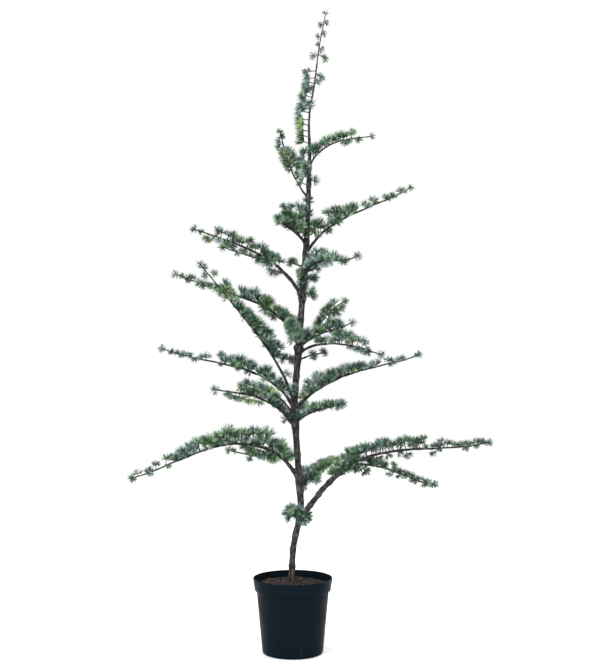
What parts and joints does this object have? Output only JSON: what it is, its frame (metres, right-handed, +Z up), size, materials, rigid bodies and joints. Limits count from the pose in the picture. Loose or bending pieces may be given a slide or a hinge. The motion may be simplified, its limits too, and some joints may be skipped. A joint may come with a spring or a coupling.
{
  "type": "potted cedar tree",
  "caption": "Young cedar tree in a round plastic nursery pot, with a slim leaning stem, tiers of long drooping boughs and short needle tufts on pegs.",
  "frame": {"origin": "middle of the pot's flat underside, on the surface it stands on", "axes": "+Z up the stem, -Y towards the viewer of the front, +X to that viewer's right"},
  "size_m": [0.8179, 0.5622, 1.527],
  "materials": {
    "pot": "blue-black moulded polypropylene, satin with fine scuffs",
    "potting_mix": "damp bark and coir compost, rough",
    "bark": "grey-brown young bark, finely ridged, matt",
    "needles": "blue-green needles, waxy"
  },
  "bodies": {
    "root": {"pot": "pot", "potting_mix": "potting_mix", "stem": "bark", "bough_high_left": "bark", "bough_high_right": "bark", "bough_long_left": "bark", "bough_long_right": "bark", "bough_low_left": "bark", "bough_low_right": "bark", "bough_mid_back_right": "bark", "bough_mid_left": "bark", "bough_mid_right": "bark", "bough_steep_left": "bark", "bough_top_left": "bark", "bough_top_right": "bark", "bough_upper_left": "bark", "bough_waist_left": "bark", "needles_foot": "needles", "needles_high_left": "needles", "needles_high_right_1": "needles", "needles_high_right_2": "needles", "needles_leader_high": "needles", "needles_leader_low": "needles", "needles_leader_tip": "needles", "needles_long_left_1": "needles", "needles_long_left_2": "needles", "needles_long_right_1": "needles", "needles_long_right_2": "needles", "needles_low_back": "needles", "needles_low_left_1": "needles", "needles_low_left_2": "needles", "needles_low_left_3": "needles", "needles_low_middle": "needles", "needles_low_right_fork": "needles", "needles_low_right_outer_1": "needles", "needles_low_right_outer_2": "needles", "needles_mid_back": "needles", "needles_mid_back_right": "needles", "needles_mid_fork": "needles", "needles_mid_front": "needles", "needles_mid_left_1": "needles", "needles_mid_left_2": "needles", "needles_mid_right": "needles", "needles_peg_left": "needles", "needles_peg_right": "needles", "needles_peg_upper": "needles", "needles_steep_left_1": "needles", "needles_steep_left_2": "needles", "needles_top_front": "needles", "needles_top_left": "needles", "needles_top_right": "needles", "needles_upper_back": "needles", "needles_upper_left_1": "needles", "needles_upper_left_2": "needles", "needles_upper_right": "needles", "needles_waist_back": "needles", "needles_waist_front": "needles", "needles_waist_left_1": "needles", "needles_waist_left_2": "needles", "needles_waist_right": "needles"}
  },
  "joints": []
}
